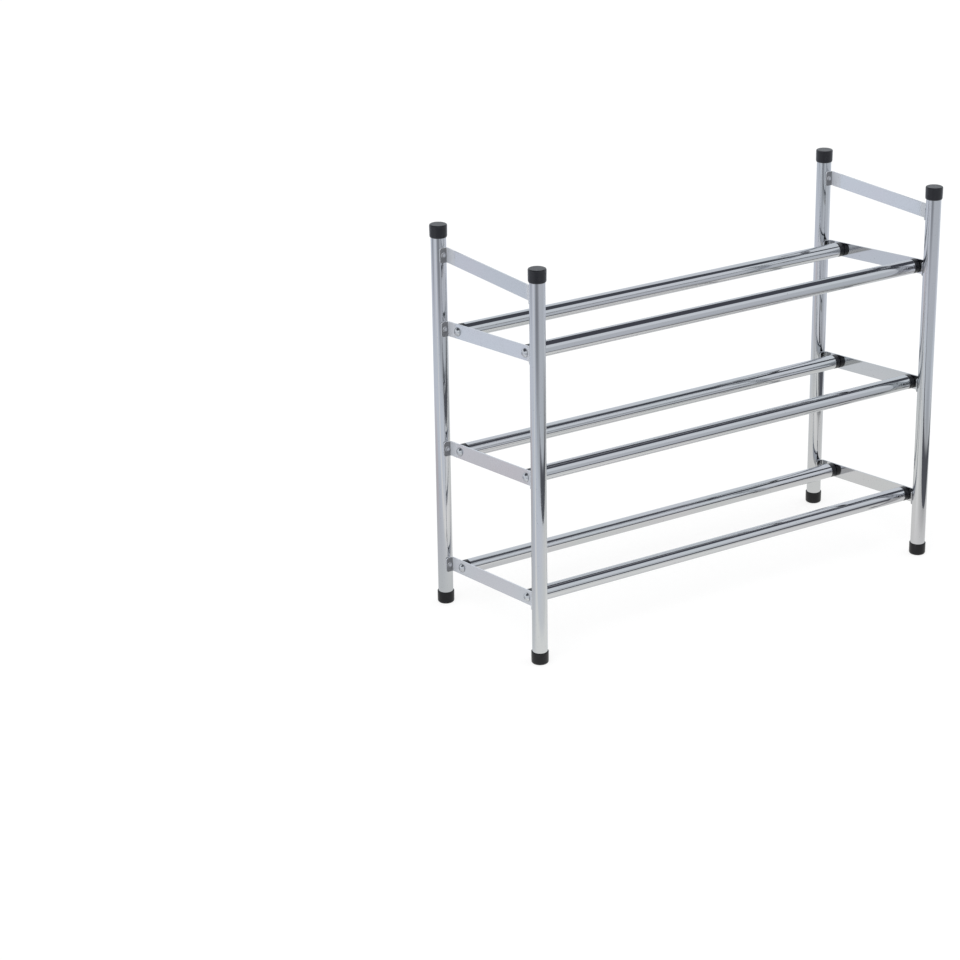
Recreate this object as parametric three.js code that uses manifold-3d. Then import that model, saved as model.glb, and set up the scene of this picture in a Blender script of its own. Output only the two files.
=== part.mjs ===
// A pull-out shoe rack of chromed steel tube, pushed together.
// Two end frames carry three pairs of telescoping rails. The wide tubes belong to the right frame and
// the thin tubes to the left frame, which slides out to the left.
// Millimetres. X runs along the rails, Y from front to back, Z up, with the origin on the floor under
// the middle of the rack.

import * as THREE from "three";
import { mergeVertices, toCreasedNormals } from "three/addons/utils/BufferGeometryUtils.js";
import Module from "manifold-3d";

const wasm = await Module();
wasm.setup();

// The whole rack, pushed together, over its caps
const rackWidth = 618;
const rackDepth = 240;
const rackHeight = 500;

// Uprights
const uprightDiameter = 19;
const uprightWall = 0.8;

// Black caps on top of the uprights, rolled in at the open rim
const capDiameter = 22;
const capRimDiameter = 21.7;
const capHeight = 16;
const capRoof = 3;
const capEdgeRadius = 1.5;
const capRollDepth = 0.8;
const capRollHeight = 2.2;

// Black feet under the uprights, square at the open rim
const footDiameter = 21.2;
const footRimDiameter = 21.4;
const footHeight = 15.5;
const footSole = 3;
const footEdgeRadius = 2.6;

// Flat bars of the end frames: three sloping shelf bars and a level top brace in each
const barHeight = 19;
const barThickness = 1.8;
const barBendRadius = 1.5;
const barOffset = 6;
const flangeReach = 5;
const flangeCornerRadius = 3;
const shelfNames = ["lower", "middle", "upper"];
const lowerShelfHeight = 65;
const shelfRise = 23;
const braceBelowTop = 37;
const shelfBelowBrace = 84;

// Rivets that hold the bent ends of the bars to the uprights
const rivetDiameter = 4;
const rivetHeadDiameter = 7;
const rivetHeadHeight = 1.6;
const rivetTailDiameter = 5.6;
const rivetTailLength = 2.4;

// Rails
const railInset = 34;
const wideTubeDiameter = 19;
const wideTubeWall = 0.7;
const thinTubeDiameter = 15.4;
const thinTubeWall = 0.8;
const insertLength = 14;
const glideLength = 20;
const glideWall = 2.2;
const glideSpigotLength = 10;

// Mouth bushes, at the left ends of the wide tubes
const bushHeadLength = 6;
const bushSleeveLength = 10;
const bushEdgeChamfer = 0.7;

// End plugs, at the right ends of the wide tubes
const plugHeadLength = 7;
const plugSpigotLength = 14;
const plugEdgeChamfer = 0.7;

// Domed screws, one at each end of each rail
const screwDiameter = 5;
const screwLength = 14;
const screwHeadDiameter = 11;
const screwHeadHeight = 3.8;

// Clearances
const seatGap = 0.3;
const runningGap = 0.3;
const closedGap = 0.5;
const endClearance = 5;
const overrun = 1;

// Numbers of sides
const tubeSides = 20;
const screwSides = 12;
const rivetSides = 10;
const edgeSteps = 2;
const bendSteps = 3;

// Radii that several pieces share
const uprightRadius = uprightDiameter / 2;
const uprightBore = uprightRadius - uprightWall;
const wideTubeRadius = wideTubeDiameter / 2;
const wideTubeBore = wideTubeRadius - wideTubeWall;
const thinTubeRadius = thinTubeDiameter / 2;
const screwHole = screwDiameter / 2 + seatGap;
const rivetHole = rivetDiameter / 2 + seatGap;

// Places of the uprights, the bars and the rails
const uprightX = (rackWidth - capDiameter) / 2;
const uprightY = (rackDepth - capDiameter) / 2;
const flangeFace = uprightY - uprightRadius - seatGap;
const railY = uprightY - railInset;
const shelfSlope = shelfRise / (2 * uprightY);
const braceHeight = rackHeight - braceBelowTop;
const shelfPitch = (braceHeight - shelfBelowBrace - lowerShelfHeight) / (shelfNames.length - 1);
const barNearFace = barOffset - barThickness;

// Ends of the rail pieces along X
const thinTubeStart = -uprightX + barOffset + seatGap;
const bushStart = -uprightX + barOffset + closedGap;
const wideTubeStart = bushStart + bushHeadLength + seatGap;
const plugEnd = uprightX + barNearFace - seatGap;
const wideTubeEnd = plugEnd - plugHeadLength - seatGap;
const thinTubeEnd = plugEnd - plugHeadLength - plugSpigotLength - endClearance;

const shelves = shelfNames.map((name, index) => ({
  name,
  height: lowerShelfHeight + index * shelfPitch,
  slope: shelfSlope,
}));
const brace = { name: "brace", height: braceHeight, slope: 0 };
const cap = {
  diameter: capDiameter,
  rimDiameter: capRimDiameter,
  height: capHeight,
  roof: capRoof,
  edgeRadius: capEdgeRadius,
  rollDepth: capRollDepth,
  rollHeight: capRollHeight,
};
const foot = {
  diameter: footDiameter,
  rimDiameter: footRimDiameter,
  height: footHeight,
  roof: footSole,
  edgeRadius: footEdgeRadius,
};
const bars = [...shelves, brace];
const sides = [
  { name: "front", sign: -1 },
  { name: "back", sign: 1 },
];

/** Height of the middle line of a bar at a place from front to back; the front end is the higher. */
function heightOnBar(bar, y) {
  return bar.height - bar.slope * y;
}

/** Points of a quarter circle or less about a centre, from one angle to another. */
function arcPoints(centreX, centreY, radius, fromAngle, toAngle, steps) {
  return Array.from({ length: steps + 1 }, (_, step) => {
    const angle = fromAngle + ((toAngle - fromAngle) * step) / steps;
    return [centreX + radius * Math.cos(angle), centreY + radius * Math.sin(angle)];
  });
}

/** A solid of revolution about Z from [radius, height] points that run up the outer side. */
function revolve(profile, sideCount) {
  const points = profile.map(([radius, height]) => new THREE.Vector2(radius, height));
  return new THREE.LatheGeometry(points, sideCount).rotateX(Math.PI / 2);
}

/** The same profile with its last point joined to its first, for a ring. */
function revolveRing(profile, sideCount) {
  return revolve([...profile, profile[0]], sideCount);
}

/** Turns a solid that points along +Z so that it points along +X or -X. */
function pointAlongX(geometry, sign) {
  return geometry.rotateY((sign * Math.PI) / 2);
}

/** Turns a solid that points along +Z so that it points along +Y or -Y. */
function pointAlongY(geometry, sign) {
  return geometry.rotateX((-sign * Math.PI) / 2);
}

/** A closed mesh as a solid that can be joined and cut. */
function toSolid(geometry) {
  const bare = new THREE.BufferGeometry();
  bare.setAttribute("position", geometry.getAttribute("position"));
  bare.setIndex(geometry.getIndex());
  const merged = mergeVertices(bare);
  const corners = merged.getIndex().array;
  const triangles = [];
  for (let start = 0; start < corners.length; start += 3) {
    const [a, b, c] = corners.slice(start, start + 3);
    if (a !== b && b !== c && c !== a) triangles.push(a, b, c);
  }
  return new wasm.Manifold(
    new wasm.Mesh({
      numProp: 3,
      vertProperties: new Float32Array(merged.getAttribute("position").array),
      triVerts: new Uint32Array(triangles),
    }),
  );
}

/** The vertices and triangles of a solid as a geometry. */
function toGeometry(solid) {
  const mesh = solid.getMesh();
  const geometry = new THREE.BufferGeometry();
  geometry.setAttribute("position", new THREE.BufferAttribute(mesh.vertProperties, 3));
  geometry.setIndex(new THREE.BufferAttribute(mesh.triVerts, 1));
  return geometry;
}

/** Joins further solids to a geometry, then cuts others out of it. */
function joinAndCut(geometry, joined, removed) {
  let solid = toSolid(geometry);
  for (const piece of joined) solid = solid.add(toSolid(piece));
  for (const piece of removed) solid = solid.subtract(toSolid(piece));
  return toGeometry(solid);
}

/** A plain round peg along +Z, used to cut holes. */
function peg(radius, start, end, sideCount) {
  return revolve(
    [
      [0, start],
      [radius, start],
      [radius, end],
      [0, end],
    ],
    sideCount,
  );
}

/** Outline of a cup's open rim: square, or rolled in towards the upright where the cup has a roll. */
function rimOutline({ rimDiameter, rollDepth = 0, rollHeight = 0 }) {
  const radius = rimDiameter / 2;
  if (rollDepth === 0) return [[radius, 0]];
  return arcPoints(0, 0, 1, -Math.PI / 2, 0, edgeSteps).map(([across, up]) => [
    radius - rollDepth + across * rollDepth,
    rollHeight + up * rollHeight,
  ]);
}

/** A push-on cup: open below, closed above with a rounded edge, bored for an upright. */
function cupGeometry(cup) {
  const { diameter, height, roof, edgeRadius } = cup;
  const centreRadius = diameter / 2 - edgeRadius;
  const bore = uprightRadius + seatGap;
  return revolve(
    [
      [0, height - roof],
      [bore, height - roof],
      [bore, 0],
      ...rimOutline(cup),
      ...arcPoints(centreRadius, height - edgeRadius, edgeRadius, 0, Math.PI / 2, edgeSteps),
      [0, height],
    ],
    tubeSides,
  );
}

/** An upright tube, with a rivet hole for each bar in the wall that faces the other upright. */
function uprightGeometry(side) {
  const bottom = footSole + seatGap;
  const top = rackHeight - capRoof - seatGap;
  const tube = revolveRing(
    [
      [uprightBore, bottom],
      [uprightRadius, bottom],
      [uprightRadius, top],
      [uprightBore, top],
    ],
    tubeSides,
  );
  const holes = bars.map((bar) => {
    const hole = pointAlongY(peg(rivetHole, 0, uprightRadius + overrun, rivetSides), -side.sign);
    return hole.translate(0, 0, heightOnBar(bar, side.sign * flangeFace));
  });
  return joinAndCut(tube, [], holes);
}

/** Outline of a bar seen from above: a straight web, with both ends bent over towards -X. */
function barOutline() {
  const outerRadius = barBendRadius + barThickness;
  const bendX = barOffset - outerRadius;
  const bendY = flangeFace - outerRadius;
  const quarter = Math.PI / 2;
  const outer = [
    [-flangeReach, -flangeFace],
    ...arcPoints(bendX, -bendY, outerRadius, -quarter, 0, bendSteps),
    ...arcPoints(bendX, bendY, outerRadius, 0, quarter, bendSteps),
    [-flangeReach, flangeFace],
  ];
  const inner = [
    [-flangeReach, flangeFace - barThickness],
    ...arcPoints(bendX, bendY, barBendRadius, quarter, 0, bendSteps),
    ...arcPoints(bendX, -bendY, barBendRadius, 0, -quarter, bendSteps),
    [-flangeReach, -flangeFace + barThickness],
  ];
  return new THREE.Shape([...outer, ...inner].map(([x, y]) => new THREE.Vector2(x, y)));
}

/** Outline of a bar seen along its length: as high as the bar, with round corners on the bent ends. */
function endOutline() {
  const radius = flangeCornerRadius;
  const centreX = radius - flangeReach;
  const centreZ = barHeight / 2 - radius;
  const quarter = Math.PI / 2;
  const points = [
    [barOffset + overrun, -barHeight / 2],
    [barOffset + overrun, barHeight / 2],
    ...arcPoints(centreX, centreZ, radius, quarter, 2 * quarter, edgeSteps),
    ...arcPoints(centreX, -centreZ, radius, 2 * quarter, 3 * quarter, edgeSteps),
  ];
  return new THREE.Shape(points.map(([x, z]) => new THREE.Vector2(x, z)));
}

/** A rivet along +Z: domed head below the flange, shank through the flange and the upright's wall. */
function rivetGeometry() {
  const headRadius = rivetHeadDiameter / 2;
  const shankRadius = rivetDiameter / 2;
  const tailRadius = rivetTailDiameter / 2;
  const wallDepth = uprightRadius - Math.sqrt(uprightBore ** 2 - tailRadius ** 2);
  const tailStart = barThickness + seatGap + wallDepth + seatGap;
  return revolve(
    [
      [0, -rivetHeadHeight],
      [headRadius * Math.SQRT1_2, -rivetHeadHeight * Math.SQRT1_2],
      [headRadius, 0],
      [headRadius, barThickness / 2],
      [shankRadius, barThickness / 2],
      [shankRadius, tailStart],
      [tailRadius, tailStart + rivetTailLength / 2],
      [0, tailStart + rivetTailLength],
    ],
    rivetSides,
  );
}

/** A bar of an end frame, with its two rivets and, on a shelf bar, the holes for the rail screws. */
function barGeometry(bar) {
  const blank = new THREE.ExtrudeGeometry(barOutline(), { depth: barHeight, bevelEnabled: false });
  blank.translate(0, 0, -barHeight / 2);
  const span = 2 * uprightY;
  const ends = new THREE.ExtrudeGeometry(endOutline(), { depth: span, bevelEnabled: false });
  ends.rotateX(Math.PI / 2).translate(0, uprightY, 0);
  const flat = toGeometry(toSolid(blank).intersect(toSolid(ends)));
  const sloped = flat.applyMatrix4(new THREE.Matrix4().makeShear(0, 0, 0, -bar.slope, 0, 0));
  sloped.translate(0, 0, bar.height);
  const rivets = sides.map(({ sign }) => {
    const rivet = pointAlongY(rivetGeometry(), sign);
    const height = heightOnBar(bar, sign * flangeFace);
    return rivet.translate(0, sign * (flangeFace - barThickness), height);
  });
  const holes = sides.map(({ sign }) => {
    const start = barNearFace - overrun;
    const hole = pointAlongX(peg(screwHole, start, barOffset + overrun, screwSides), 1);
    return hole.translate(0, sign * railY, heightOnBar(bar, sign * railY));
  });
  return joinAndCut(sloped, rivets, bar === brace ? [] : holes);
}

/** A wide rail tube along +X, open at both ends. */
function wideTubeGeometry() {
  const length = wideTubeEnd - wideTubeStart;
  const profile = [
    [wideTubeBore, 0],
    [wideTubeRadius, 0],
    [wideTubeRadius, length],
    [wideTubeBore, length],
  ];
  return pointAlongX(revolveRing(profile, tubeSides), 1);
}

/** A thin rail tube along +X, one with its threaded insert at the left and its glide at the right. */
function thinTubeGeometry() {
  const length = thinTubeEnd - thinTubeStart;
  const bore = thinTubeRadius - thinTubeWall;
  const glideRadius = wideTubeBore - runningGap;
  const glideStart = length - glideLength;
  const glideBore = bore - glideWall;
  const spigotStart = glideStart - glideSpigotLength;
  const profile = [
    [screwHole, 0],
    [thinTubeRadius, 0],
    [thinTubeRadius, glideStart],
    [glideRadius, glideStart],
    [glideRadius, length],
    [glideBore, length],
    [glideBore, spigotStart],
    [bore, spigotStart],
    [bore, insertLength],
    [screwHole, insertLength],
  ];
  return pointAlongX(revolveRing(profile, tubeSides), 1);
}

/** A mouth bush along +X: a ring outside the wide tube and a sleeve inside it. */
function bushGeometry() {
  const bore = thinTubeRadius + runningGap;
  const sleeveRadius = wideTubeBore - seatGap;
  const profile = [
    [bore, 0],
    [wideTubeRadius - bushEdgeChamfer, 0],
    [wideTubeRadius, bushEdgeChamfer],
    [wideTubeRadius, bushHeadLength],
    [sleeveRadius, bushHeadLength],
    [sleeveRadius, bushHeadLength + bushSleeveLength],
    [bore, bushHeadLength + bushSleeveLength],
  ];
  return pointAlongX(revolveRing(profile, tubeSides), 1);
}

/** An end plug along -X: a collar against the shelf bar and a spigot inside the wide tube. */
function plugGeometry() {
  const spigotRadius = wideTubeBore - seatGap;
  const profile = [
    [screwHole, 0],
    [wideTubeRadius - plugEdgeChamfer, 0],
    [wideTubeRadius, plugEdgeChamfer],
    [wideTubeRadius, plugHeadLength],
    [spigotRadius, plugHeadLength],
    [spigotRadius, plugHeadLength + plugSpigotLength],
    [screwHole, plugHeadLength + plugSpigotLength],
  ];
  return pointAlongX(revolveRing(profile, tubeSides), -1);
}

/** A domed screw; it starts at the crown of its head and points along +X or -X. */
function screwGeometry(sign) {
  const headRadius = screwHeadDiameter / 2;
  const shankRadius = screwDiameter / 2;
  const domeRadius = (headRadius ** 2 + screwHeadHeight ** 2) / (2 * screwHeadHeight);
  const rimAngle = Math.asin(headRadius / domeRadius);
  const quarter = Math.PI / 2;
  const dome = arcPoints(0, domeRadius, domeRadius, -quarter, -quarter + rimAngle, edgeSteps);
  const profile = [
    ...dome,
    [shankRadius, screwHeadHeight],
    [shankRadius, screwHeadHeight + screwLength],
    [0, screwHeadHeight + screwLength],
  ];
  return pointAlongX(revolve(profile, screwSides), sign);
}

/** Bright chromed steel. */
function chrome(colour, roughness) {
  return new THREE.MeshStandardMaterial({ color: colour, roughness, metalness: 1 });
}

/** Black moulded plastic. */
function blackPlastic() {
  return new THREE.MeshStandardMaterial({ color: "#2c2d33", roughness: 0.45, metalness: 0 });
}

/** A named mesh with normals that keep its sharp edges. */
function addMesh(group, name, geometry, material) {
  const mesh = new THREE.Mesh(toCreasedNormals(geometry), material);
  mesh.name = name;
  group.add(mesh);
  return mesh;
}

/** One end frame about its own middle: two uprights with caps and feet, a brace and the shelf bars. */
function endFrame(end) {
  const frame = new THREE.Group();
  for (const side of sides) {
    const name = `${end}_${side.name}`;
    const post = new THREE.Group();
    post.position.y = side.sign * uprightY;
    addMesh(post, `${name}_upright`, uprightGeometry(side), chrome("#b4bcc4", 0.16));
    const capMesh = addMesh(post, `${name}_cap`, cupGeometry(cap), blackPlastic());
    capMesh.position.z = rackHeight - capHeight;
    const footMesh = addMesh(post, `${name}_foot`, cupGeometry(foot), blackPlastic());
    footMesh.rotation.x = Math.PI;
    footMesh.position.z = footHeight;
    frame.add(post);
  }
  for (const shelf of shelves) {
    addMesh(frame, `${end}_${shelf.name}_shelf_bar`, barGeometry(shelf), chrome("#c0c6d0", 0.24));
  }
  addMesh(frame, `${end}_top_brace`, barGeometry(brace), chrome("#c0c6d0", 0.24));
  return frame;
}

/** One telescoping rail with its bush, plug and two screws. */
function rail(shelf, side) {
  const group = new THREE.Group();
  const name = `${shelf.name}_${side.name}`;
  const y = side.sign * railY;
  group.position.set(0, y, heightOnBar(shelf, y));
  const wideTube = addMesh(group, `${name}_wide_tube`, wideTubeGeometry(), chrome("#b0b8c2", 0.16));
  wideTube.position.x = wideTubeStart;
  const thinTube = addMesh(group, `${name}_thin_tube`, thinTubeGeometry(), chrome("#bcc3ca", 0.16));
  thinTube.position.x = thinTubeStart;
  addMesh(group, `${name}_mouth_bush`, bushGeometry(), blackPlastic()).position.x = bushStart;
  addMesh(group, `${name}_end_plug`, plugGeometry(), blackPlastic()).position.x = plugEnd;
  const leftCrown = -uprightX + barNearFace - seatGap - screwHeadHeight;
  const leftScrew = addMesh(group, `${name}_left_screw`, screwGeometry(1), chrome("#c8ced4", 0.2));
  leftScrew.position.x = leftCrown;
  const rightCrown = uprightX + barOffset + seatGap + screwHeadHeight;
  const rightScrew = addMesh(group, `${name}_right_screw`, screwGeometry(-1), chrome("#c8ced4", 0.2));
  rightScrew.position.x = rightCrown;
  return group;
}

const rack = new THREE.Group();
const leftFrame = endFrame("left");
leftFrame.position.x = -uprightX;
rack.add(leftFrame);
const rightFrame = endFrame("right");
rightFrame.position.x = uprightX;
rack.add(rightFrame);
for (const shelf of shelves) {
  for (const side of sides) rack.add(rail(shelf, side));
}

export default rack;
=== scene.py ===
"""Looks of a pull-out shoe rack of chromed steel tube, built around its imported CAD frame.

Two end frames carry three pairs of telescoping rails. The CAD frame gives each piece its place and the
body that it moves with; the classes here give it smooth curves, small edges and its finish.
Metres. X runs along the rails, Y from front to back, Z up.
"""

import logging
import math
from dataclasses import dataclass, field
from enum import Enum
from typing import Iterable, Optional, Sequence, Union

import bmesh
import bpy
from mathutils import Matrix, Vector


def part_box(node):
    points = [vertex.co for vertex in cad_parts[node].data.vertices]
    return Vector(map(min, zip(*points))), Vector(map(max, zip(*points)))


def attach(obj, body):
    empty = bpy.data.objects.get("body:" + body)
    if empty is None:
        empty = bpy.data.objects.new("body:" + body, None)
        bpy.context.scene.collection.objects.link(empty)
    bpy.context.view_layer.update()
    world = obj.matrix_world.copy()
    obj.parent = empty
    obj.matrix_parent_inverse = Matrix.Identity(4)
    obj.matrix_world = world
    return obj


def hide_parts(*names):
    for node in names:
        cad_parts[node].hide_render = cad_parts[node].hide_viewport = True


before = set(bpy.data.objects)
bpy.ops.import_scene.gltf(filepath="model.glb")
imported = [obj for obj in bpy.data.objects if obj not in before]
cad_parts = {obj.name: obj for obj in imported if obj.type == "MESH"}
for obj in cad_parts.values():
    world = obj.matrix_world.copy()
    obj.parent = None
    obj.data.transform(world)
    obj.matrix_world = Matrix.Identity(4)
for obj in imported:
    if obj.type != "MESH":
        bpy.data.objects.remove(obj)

log = logging.getLogger("shoe_rack")

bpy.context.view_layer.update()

Point2 = tuple[float, float]
Point3 = tuple[float, float, float]
Colour = tuple[float, float, float]
MILLIMETRE = 0.001
TOUCHING = 0.0005 * MILLIMETRE
CORNER_STEPS = 5
FLAT_GUARD = 1.25
QUARTER = math.pi / 2
FULL_TURN = 2 * math.pi
UP = Vector((0, 0, 1))
ACROSS: Point3 = (0.0, 1.0, 0.0)
WHITE: Colour = (1.0, 1.0, 1.0)
SURROUND: Colour = (0.90, 0.945, 1.0)
SURROUND_LEVEL = 1.04


class End(Enum):
    """The two end frames, by the body that carries them."""

    LEFT = "left_frame"
    RIGHT = "right_frame"

    @property
    def word(self) -> str:
        """The word that starts the names of the frame's own pieces."""
        return self.name.lower()


class Side(Enum):
    """The front and the back of the rack, by their direction along Y."""

    FRONT = -1
    BACK = 1

    @property
    def word(self) -> str:
        """The word in the names of the pieces on this side."""
        return self.name.lower()


class Shelf(Enum):
    """The three shelves."""

    LOWER = "lower"
    MIDDLE = "middle"
    UPPER = "upper"


class Grain(Enum):
    """The way that a tube or bar was drawn, as the stretch of its surface marks along X, Y and Z."""

    ALONG_X = (0.03, 1.0, 1.0)
    ALONG_Y = (1.0, 0.03, 1.0)
    ALONG_Z = (1.0, 1.0, 0.03)
    NONE = (1.0, 1.0, 1.0)


Number = Union["Signal", float]


class Signal:
    """A value in a node tree, wrapped so that Python's operators add Math nodes."""

    def __init__(self, kit: "NodeKit", socket: bpy.types.NodeSocket) -> None:
        """Wraps an output socket.

        Args:
            socket: The output socket.
        """
        self.kit = kit
        self.socket = socket

    def math(self, operation: str, *values: Number) -> "Signal":
        """Adds a Math node.

        Args:
            operation: The Math node's operation.
            values: The inputs in order, this signal among them.

        Returns:
            The node's result.
        """
        inputs = dict(enumerate(values))
        return self.kit.signal("ShaderNodeMath", {"operation": operation}, inputs)

    def __add__(self, other: Number) -> "Signal":
        """This value plus another."""
        return self.math("ADD", self, other)

    def __radd__(self, other: Number) -> "Signal":
        """Another value plus this one."""
        return self.math("ADD", other, self)

    def __sub__(self, other: Number) -> "Signal":
        """This value less another."""
        return self.math("SUBTRACT", self, other)

    def __rsub__(self, other: Number) -> "Signal":
        """Another value less this one."""
        return self.math("SUBTRACT", other, self)

    def __mul__(self, other: Number) -> "Signal":
        """This value times another."""
        return self.math("MULTIPLY", self, other)

    def __rmul__(self, other: Number) -> "Signal":
        """Another value times this one."""
        return self.math("MULTIPLY", other, self)

    def __truediv__(self, other: Number) -> "Signal":
        """This value divided by another."""
        return self.math("DIVIDE", self, other)

    def __rtruediv__(self, other: Number) -> "Signal":
        """Another value divided by this one."""
        return self.math("DIVIDE", other, self)

    def __abs__(self) -> "Signal":
        """This value without its sign."""
        return self.math("ABSOLUTE", self)

    def larger(self, other: Number) -> "Signal":
        """The larger of this value and another."""
        return self.math("MAXIMUM", self, other)

    def rise(self, low: float, high: float) -> "Signal":
        """A smooth step over this value.

        Args:
            low: The value at which the step is 0.
            high: The value at which the step is 1; it may be below low.

        Returns:
            A value from 0 to 1.
        """
        settings = {"interpolation_type": "SMOOTHSTEP"}
        start, end, flip = (low, high, False) if low < high else (high, low, True)
        inputs = {"Value": self, "From Min": start, "From Max": end}
        step = self.kit.signal("ShaderNodeMapRange", settings, inputs)
        return 1 - step if flip else step


@dataclass(frozen=True)
class Noise:
    """Soft noise: features in a metre, number of finer layers and the share that each layer keeps."""

    per_metre: float
    detail: float = 2.0
    rough: float = 0.5


class NodeKit:
    """Adds nodes to one node tree."""

    def __init__(self, tree: bpy.types.NodeTree) -> None:
        """Starts with an empty tree.

        Args:
            tree: The node tree of a material or a world.
        """
        tree.nodes.clear()
        self.tree = tree

    def wire(self, socket: bpy.types.NodeSocket, value: object) -> None:
        """Links a value to an input socket, or sets it there.

        Args:
            socket: The input socket.
            value: A signal, an output socket or a plain value.
        """
        source = value.socket if isinstance(value, Signal) else value
        if isinstance(source, bpy.types.NodeSocket):
            self.tree.links.new(source, socket)
        elif isinstance(source, (tuple, list)) and socket.type == "RGBA":
            socket.default_value = (*source, 1.0)
        else:
            socket.default_value = source

    def node(
        self,
        kind: str,
        settings: Optional[dict[str, object]] = None,
        inputs: Optional[dict[Union[str, int], object]] = None,
    ) -> bpy.types.Node:
        """Adds any node.

        Args:
            kind: The node's type.
            settings: The node's own settings, which are set first.
            inputs: The values or links of its sockets, by name or number.

        Returns:
            The node.
        """
        made = self.tree.nodes.new(kind)
        for name, value in (settings or {}).items():
            setattr(made, name, value)
        for key, value in (inputs or {}).items():
            self.wire(made.inputs[key], value)
        return made

    def signal(
        self,
        kind: str,
        settings: Optional[dict[str, object]] = None,
        inputs: Optional[dict[Union[str, int], object]] = None,
        output: Union[str, int] = 0,
    ) -> Signal:
        """Adds any node and wraps one of its outputs.

        Args:
            kind: The node's type.
            settings: The node's own settings.
            inputs: The values or links of its sockets.
            output: The output's name or number.

        Returns:
            The output as a signal.
        """
        return Signal(self, self.node(kind, settings, inputs).outputs[output])

    def blend(self, share: Number, first: object, second: object) -> Signal:
        """Mixes two colours.

        Args:
            share: The share of the second colour.
            first: The colour where the share is 0.
            second: The colour where the share is 1.

        Returns:
            The mixed colour.
        """
        mix = self.node("ShaderNodeMix", {"data_type": "RGBA"})
        chosen = {socket.name: socket for socket in mix.inputs if socket.type == "RGBA"}
        self.wire(next(socket for socket in mix.inputs if socket.name == "Factor"), share)
        self.wire(chosen["A"], first)
        self.wire(chosen["B"], second)
        return Signal(self, next(socket for socket in mix.outputs if socket.type == "RGBA"))

    def place(self, stretch: Point3 = Grain.NONE.value) -> Signal:
        """The place on the piece in its own axes, which are the rack's.

        Args:
            stretch: Factors along X, Y and Z; a small one draws marks out in that direction.

        Returns:
            The place as a vector.
        """
        inputs = {0: self.signal("ShaderNodeTexCoord", output="Object"), 1: stretch}
        return self.signal("ShaderNodeVectorMath", {"operation": "MULTIPLY"}, inputs)

    def along(self, vector: Signal, way: Point3) -> Signal:
        """How far a vector reaches along a way."""
        settings = {"operation": "DOT_PRODUCT"}
        return self.signal("ShaderNodeVectorMath", settings, {0: vector, 1: way}, output="Value")

    def noise(self, place: Signal, noise: Noise) -> Signal:
        """Soft noise from 0 to 1 over the surface.

        Args:
            place: Where to read it.
            noise: Its settings.

        Returns:
            The noise's value.
        """
        settings = {"Scale": noise.per_metre, "Detail": noise.detail, "Roughness": noise.rough}
        return self.signal("ShaderNodeTexNoise", None, {"Vector": place, **settings})

    def rays(self) -> tuple[Signal, Signal]:
        """The kind of ray that meets the surface.

        Returns:
            Whether it comes from the camera, and whether a glossy or clear surface sent it.
        """
        path = self.node("ShaderNodeLightPath")
        camera = Signal(self, path.outputs["Is Camera Ray"])
        glossy = Signal(self, path.outputs["Is Glossy Ray"])
        through = Signal(self, path.outputs["Is Transmission Ray"])
        return camera, glossy.larger(through)

    def bump(self, height: Signal, depth: float) -> Signal:
        """Turns a height into a normal.

        Args:
            height: The height as a share of the depth.
            depth: The depth in metres.

        Returns:
            The normal.
        """
        inputs = {"Strength": 1.0, "Distance": depth, "Height": height}
        return self.signal("ShaderNodeBump", None, inputs)

    def finish(self, shader: Signal, kind: str = "ShaderNodeOutputMaterial") -> None:
        """Links the last shader to the output."""
        self.node(kind, None, {"Surface": shader})


def empty_material(name: str) -> tuple[bpy.types.Material, NodeKit]:
    """Makes a material without nodes.

    Args:
        name: The material's name.
    """
    made = bpy.data.materials.new(name)
    made.use_nodes = True
    return made, NodeKit(made.node_tree)


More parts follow.
